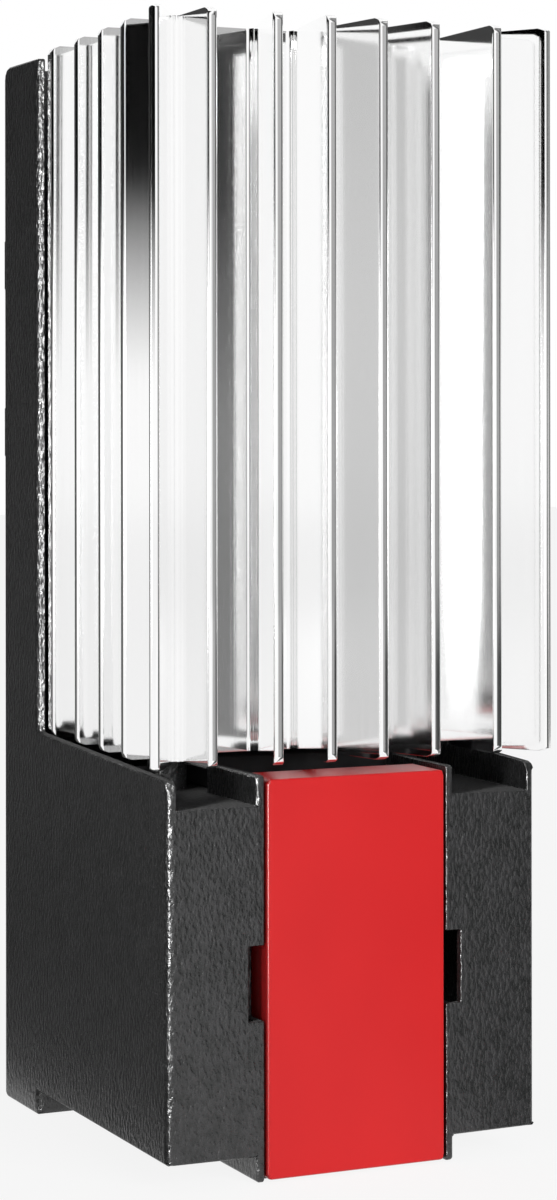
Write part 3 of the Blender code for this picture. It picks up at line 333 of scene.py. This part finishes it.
def softened(node_name, title, radius, angle=35, corners=()):
    """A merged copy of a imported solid: loose triangles welded, flat faces joined, its
    corners grown, and each edge sharper than the angle rounded to its radius in mm,
    which is one number or a function of the edge's two ends. Zero leaves it sharp."""
    mesh = bpy.data.meshes.new(title)
    shape = bmesh.new()
    shape.from_mesh(NODES[node_name].data)
    bmesh.ops.remove_doubles(shape, verts=shape.verts, dist=WELD_DISTANCE * MM)
    bmesh.ops.dissolve_limit(
        shape, angle_limit=radians(0.5), verts=shape.verts, edges=shape.edges
    )
    grow_corners(shape, corners)
    weight = shape.edges.layers.float.new("bevel_weight_edge")
    widths = {}
    for edge in shape.edges:
        if edge.is_manifold and edge.calc_face_angle() > radians(angle):
            ends = [v.co / MM for v in edge.verts]
            widths[edge] = radius(*ends) if callable(radius) else radius
    widest = max(widths.values())
    for edge, width in widths.items():
        edge[weight] = width / widest
        edge.smooth = width > 0
    for face in shape.faces:
        face.smooth = True
    shape.to_mesh(mesh)
    shape.free()
    piece = bpy.data.objects.new(title, mesh)
    bpy.context.scene.collection.objects.link(piece)
    rounding = piece.modifiers.new("rounding", "BEVEL")
    rounding.width = widest * MM
    rounding.segments = 3
    rounding.limit_method = "WEIGHT"
    rounding.use_clamp_overlap = False
    rounding.miter_outer = "MITER_ARC"
    shading = piece.modifiers.new("shading", "WEIGHTED_NORMAL")
    shading.keep_sharp = True
    shown_for(piece, node_name)


def moulded_radius(a, b):
    """The radius for an edge of the housing between two points: the largest in the middle
    of its upright corners, a small one on the rail pads, and none where pads and holes
    meet the rear wall, as a rounding there would break the wall's face."""
    if max(abs(a.y - REAR_WALL), abs(b.y - REAR_WALL)) < REACH:
        return 0
    if min(a.y, b.y) > REAR_WALL - REACH:
        return PAD_RADIUS
    across, along, up = (abs(c) for c in a - b)
    upright = max(across, along) < REACH and up > LONG_EDGE
    in_corner = abs(abs(a.x) - CORNER_MIDDLE) < REACH
    return MIDDLE_RADIUS if upright and in_corner else EDGE_RADIUS


softened(
    "housing", "housing_moulded", moulded_radius,
    corners=[(BOX_HALF, y, PACKED_CORNER, SHOWN_CORNER) for y in (BOX_FRONT, DUCT_FRONT)],
)
softened("heatsink", "heatsink_sawn", 0.06, angle=60)
softened(
    "terminal_cover", "terminal_cover_moulded", 0.15,
    corners=[(COVER_HALF, COVER_FRONT, PACKED_COVER_CORNER, SHOWN_COVER_CORNER)],
)
softened("rail_clip", "rail_clip_deburred", 0.1)
softened("core_cap", "core_cap_moulded", 0.25)
softened("cable_clamp", "cable_clamp_moulded", 0.2)

# Pan-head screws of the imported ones' sizes. A recess arm's sides slope over SIDE_RAMP
# and its ends over END_RAMP. The head's rows are close together over the recess.
HEAD_RADIUS = 2.7
HEAD_HEIGHT = 1.5
HEAD_DOME = 0.4
HEAD_RIM = 0.52
SHANK_RADIUS = 1.35
THREAD_PITCH = 1.1
THREAD_DEPTH = 0.32
POINT_LENGTH = 1.6
RECESS_DEPTH = 1.1
RECESS_HALF = 0.62
RECESS_REACH = 1.55
SIDE_RAMP = 0.22
END_RAMP = 0.6
HEAD_ROWS = np.concatenate([np.linspace(0.06, 1.75, 26), np.linspace(1.85, 2.62, 6)])
TURN_COLUMNS = 96
ROWS_PER_PITCH = 8


def recess(x, y):
    """Share from 0 to 1 of a cross-shaped driver recess's depth: the deeper of two arms.
    An arm along x is a ramp over |y| at its sides times one over |x| at its end."""

    def arm(along, across):
        side = np.clip((RECESS_HALF - np.abs(across)) / SIDE_RAMP, 0, 1)
        end = np.clip((RECESS_REACH - np.abs(along)) / END_RAMP, 0, 1)
        return side * end

    return np.maximum(arm(x, y), arm(y, x))


def driven_screw(node_name):
    """A pan-head screw with its head to the rear, as one turned grid around the axis of
    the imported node. The columns are angles a. The rows run outwards over the head and
    then along the shank. At radius r on the head, the height over the seat is
    head height * (1 - dome * (r / head radius)**3) - recess depth * recess. At depth s
    in the shank, the radius is shank radius - thread depth * |2 * frac(s / pitch +
    a / 2 pi) - 1|, and it shrinks in a straight line over the point's length."""
    low, high = (np.array(corner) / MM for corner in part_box(node_name))
    x, z = (low[0] + high[0]) / 2, (low[2] + high[2]) / 2
    seat = high[1] - HEAD_HEIGHT
    length = seat - low[1]
    angle = np.linspace(0, 2 * np.pi, TURN_COLUMNS, endpoint=False)
    round_once = np.ones_like(angle)
    over = np.outer(HEAD_ROWS, round_once)
    dome = HEAD_HEIGHT * (1 - HEAD_DOME * (over / HEAD_RADIUS) ** 3)
    crown = dome - RECESS_DEPTH * recess(over * np.cos(angle), over * np.sin(angle))
    shank_rows = int(length / THREAD_PITCH * ROWS_PER_PITCH)
    depth = np.linspace(0, length - 0.02, shank_rows)[:, None]
    wave = np.abs(2 * np.mod(depth / THREAD_PITCH + angle / (2 * np.pi), 1) - 1)
    taper = np.clip((length - depth) / POINT_LENGTH, 0.02, 1)
    shank = (SHANK_RADIUS - THREAD_DEPTH * wave) * taper
    radius = np.vstack([over, HEAD_RADIUS * round_once, HEAD_RADIUS * round_once, shank])
    rim_height = HEAD_RIM * HEAD_HEIGHT * round_once
    height = np.vstack([crown, rim_height, 0 * round_once, -depth * round_once])
    rows, columns = radius.shape
    rings = np.stack(
        [x + radius * np.cos(angle), seat + height, z + radius * np.sin(angle)], -1
    )
    poles = [[x, seat + HEAD_HEIGHT - RECESS_DEPTH, z], [x, seat - length, z]]
    points = np.vstack([rings.reshape(-1, 3), poles]) * MM
    here = np.arange(columns)
    after = np.roll(here, -1)
    row = np.arange(rows - 1)[:, None] * columns
    walls = np.stack([row + here, row + after, row + columns + after, row + columns + here], -1)
    crown_pole, tip_pole = rows * columns, rows * columns + 1
    last = (rows - 1) * columns
    crowns = np.stack([here * 0 + crown_pole, after, here], -1)
    tips = np.stack([here * 0 + tip_pole, last + here, last + after], -1)
    faces = walls.reshape(-1, 4).tolist() + crowns.tolist() + tips.tolist()
    mesh = bpy.data.meshes.new(node_name + "_driven")
    mesh.from_pydata(points.tolist(), [], faces)
    mesh.shade_smooth()
    mesh.set_sharp_from_angle(angle=radians(40))
    piece = bpy.data.objects.new(node_name + "_driven", mesh)
    bpy.context.scene.collection.objects.link(piece)
    shown_for(piece, node_name)


for screw_name in ("back_screw_left", "back_screw_right", "clip_screw_lower", "clip_screw_upper"):
    driven_screw(screw_name)


def seen_as_background(tree):
    """1 for rays from the camera, a gloss or a clear piece, and 0 for the others."""
    rays = add_node(tree, "ShaderNodeLightPath")
    first = add_node(
        tree, "ShaderNodeMath", {"operation": "MAXIMUM"},
        i0=rays.outputs["Is Camera Ray"], i1=rays.outputs["Is Glossy Ray"],
    )
    return add_node(
        tree, "ShaderNodeMath", {"operation": "MAXIMUM"},
        i0=first.outputs[0], i1=rays.outputs["Is Transmission Ray"],
    ).outputs[0]


def flat_sheet(name, points, face=(0, 1, 2, 3)):
    """A flat piece of the set with four corners in mm."""
    mesh = bpy.data.meshes.new(name)
    mesh.from_pydata([[c * MM for c in point] for point in points], [], [face])
    sheet = bpy.data.objects.new(name, mesh)
    bpy.context.scene.collection.objects.link(sheet)
    return sheet


# The floor lies just under the part and runs far beyond the view. Matt white paper: it
# shows as the white background, with an eighth of its own shade left in it.
FLOOR_HALF = 3000
FLOOR_DROP = 0.2
sides = ((-1, -1), (1, -1), (1, 1), (-1, 1))
floor = flat_sheet("floor", [(x * FLOOR_HALF, y * FLOOR_HALF, -FLOOR_DROP) for x, y in sides])
paper = grained(
    "matt_white_paper", blobs=(9, 9), tones=["#E0E0E0", "#E6E6E6"], ends=(0, 1),
    roughness=[0.9],
)
tree = paper.node_tree
share = add_node(
    tree, "ShaderNodeMath", {"operation": "MULTIPLY"}, i0=seen_as_background(tree), i1=0.88
)
glow = add_node(tree, "ShaderNodeEmission", None, Color=linear("#FFFFFF"), Strength=1.0)
blend = add_node(
    tree, "ShaderNodeMixShader", None,
    Fac=share.outputs[0], i1=tree.nodes["Principled BSDF"].outputs[0], i2=glow.outputs[0],
)
tree.links.new(blend.outputs[0], tree.nodes["Material Output"].inputs["Surface"])
floor.data.materials.append(paper)

world = bpy.data.worlds.new("studio")
bpy.context.scene.world = world
world.use_nodes = True
tree = world.node_tree
level = add_node(
    tree, "ShaderNodeMapRange", None, Value=seen_as_background(tree), To_Min=0.2, To_Max=1.0
)
tree.links.new(level.outputs[0], tree.nodes["Background"].inputs["Strength"])
tree.nodes["Background"].inputs["Color"].default_value = linear("#FFFFFF")


def gauze(name, corners, low, high, lower, upper, bounces):
    """A flat screen of dark gauze: upright on the line between two corners, or lying on
    the floor between four. It lets the share lower of the white background through up
    to the height low, and upper from the height high on. Only gloss shows it, and only
    up to the given number of bounces, so that it draws dark lines along the fins and
    leaves the light between."""
    if len(corners) == 2:
        points = [(*corner, z) for z in (SCREEN_FOOT, SCREEN_TOP) for corner in corners]
        screen = flat_sheet(name, points, (0, 1, 3, 2))
    else:
        screen = flat_sheet(name, [(*corner, FLOOR_GAUZE_LIFT) for corner in corners])
    cloth, tree, shader, where = finish_shader(name + "_cloth")
    tree.nodes.remove(shader)
    height = add_node(tree, "ShaderNodeSeparateXYZ", None, Vector=where).outputs["Z"]
    share = add_node(
        tree, "ShaderNodeMapRange", None,
        Value=height, From_Min=low * MM, From_Max=high * MM, To_Min=lower, To_Max=upper,
    ).outputs[0]
    depth = add_node(tree, "ShaderNodeLightPath").outputs["Glossy Depth"]
    late = add_node(
        tree, "ShaderNodeMath", {"operation": "GREATER_THAN"}, i0=depth, i1=bounces + 0.5
    ).outputs[0]
    clear = add_node(tree, "ShaderNodeMath", {"operation": "MAXIMUM"}, i0=share, i1=late)
    weave = add_node(tree, "ShaderNodeBsdfTransparent", None, Color=clear.outputs[0])
    tree.links.new(weave.outputs[0], tree.nodes["Material Output"].inputs["Surface"])
    screen.data.materials.append(cloth)
    screen.visible_camera = screen.visible_shadow = screen.visible_diffuse = False


SCREEN_FOOT = -50
SCREEN_TOP = 900
FLOOR_GAUZE_LIFT = 0.5
ALL_BOUNCES = 99

gauze("gauze_behind_left", [(-200, 60), (-35, 215)], 60, 170, 0.12, 0.05, 1)
gauze("gauze_floor_left", [(-34, -70), (-34, 215), (-200, 215), (-200, -30)], 0, 1, 0.1, 0.1, 1)
gauze("gauze_left", [(-400, -470), (-570, 300)], 125, 184, 1.0, 0.0, 3)
gauze("gauze_front_right", [(120, -425), (335, -245)], 150, 260, 0.55, 0.9, 1)
gauze("gauze_front_far", [(100, -520), (420, -300)], 150, 260, 0.68, 0.58, ALL_BOUNCES)
gauze("gauze_near_right", [(215, -310), (290, -218)], 110, 175, 0.34, 0.06, 3)
gauze("gauze_near_front", [(80, -185), (190, -60)], 60, 80, 0.2, 1.0, 1)
gauze("gauze_floor_right", [(24, -40), (80, -185), (190, -60), (34, -40)], 0, 1, 0.2, 0.2, 1)
gauze("gauze_right", [(345, -360), (600, -50)], 120, 190, 0.8, 0.25, 1)
gauze("gauze_far_right", [(600, -40), (600, 300)], 0, 1, 0.25, 0.25, 1)


def softbox(name, width, height, power, place, target):
    """An upright rectangular lamp of so many watts at a place, turned to a target."""
    lamp = bpy.data.lights.new(name, "AREA")
    lamp.shape = "RECTANGLE"
    lamp.size = width * MM
    lamp.size_y = height * MM
    lamp.energy = power
    stand = bpy.data.objects.new(name, lamp)
    stand.location = Vector(place) * MM
    aim = (Vector(target) - Vector(place)).to_track_quat("-Z", "Y")
    stand.rotation_euler = aim.to_euler()
    stand.visible_camera = False
    bpy.context.scene.collection.objects.link(stand)
    return stand


# A small strip lamp close by draws the glints along the black moulding's round edges.
moulding = bpy.data.collections.new("glinting_moulding")
for shown in ("housing_moulded", "terminal_cover_moulded"):
    moulding.objects.link(bpy.data.objects[shown])
glint = softbox("strip_glint", 45, 220, 3.2, (-244, -165, 112), (-30, -36, 112))
glint.visible_diffuse = False
glint.light_linking.receiver_collection = moulding

softbox("strip_key", 90, 700, 1.7, (-830, -500, 360), (0, 0, 360))
fill = softbox("fill", 600, 600, 11.2, (300, -1100, 420), (0, 0, 60))
fill.visible_glossy = False

# The camera stands level at the front left, with its frame shifted down to the part.
FOCAL_LENGTH = 88.57
SENSOR_WIDTH = 36
FRAME_SHIFT = -0.1456
CAMERA_PLACE = (-192.49, -422.85, 109.2)
CAMERA_TURN = (radians(90), 0.0011, radians(-24.951))

lens = bpy.data.cameras.new("camera")
lens.lens = FOCAL_LENGTH
lens.sensor_width = SENSOR_WIDTH
lens.sensor_fit = "AUTO"
lens.shift_y = FRAME_SHIFT
camera = bpy.data.objects.new("camera", lens)
camera.location = [c * MM for c in CAMERA_PLACE]
camera.rotation_euler = CAMERA_TURN
bpy.context.scene.collection.objects.link(camera)
bpy.context.scene.camera = camera

bpy.context.scene.view_settings.view_transform = "Standard"
# Light goes back and forth between the fins many times before it leaves.
bpy.context.scene.cycles.glossy_bounces = 12
bpy.context.scene.cycles.max_bounces = 16
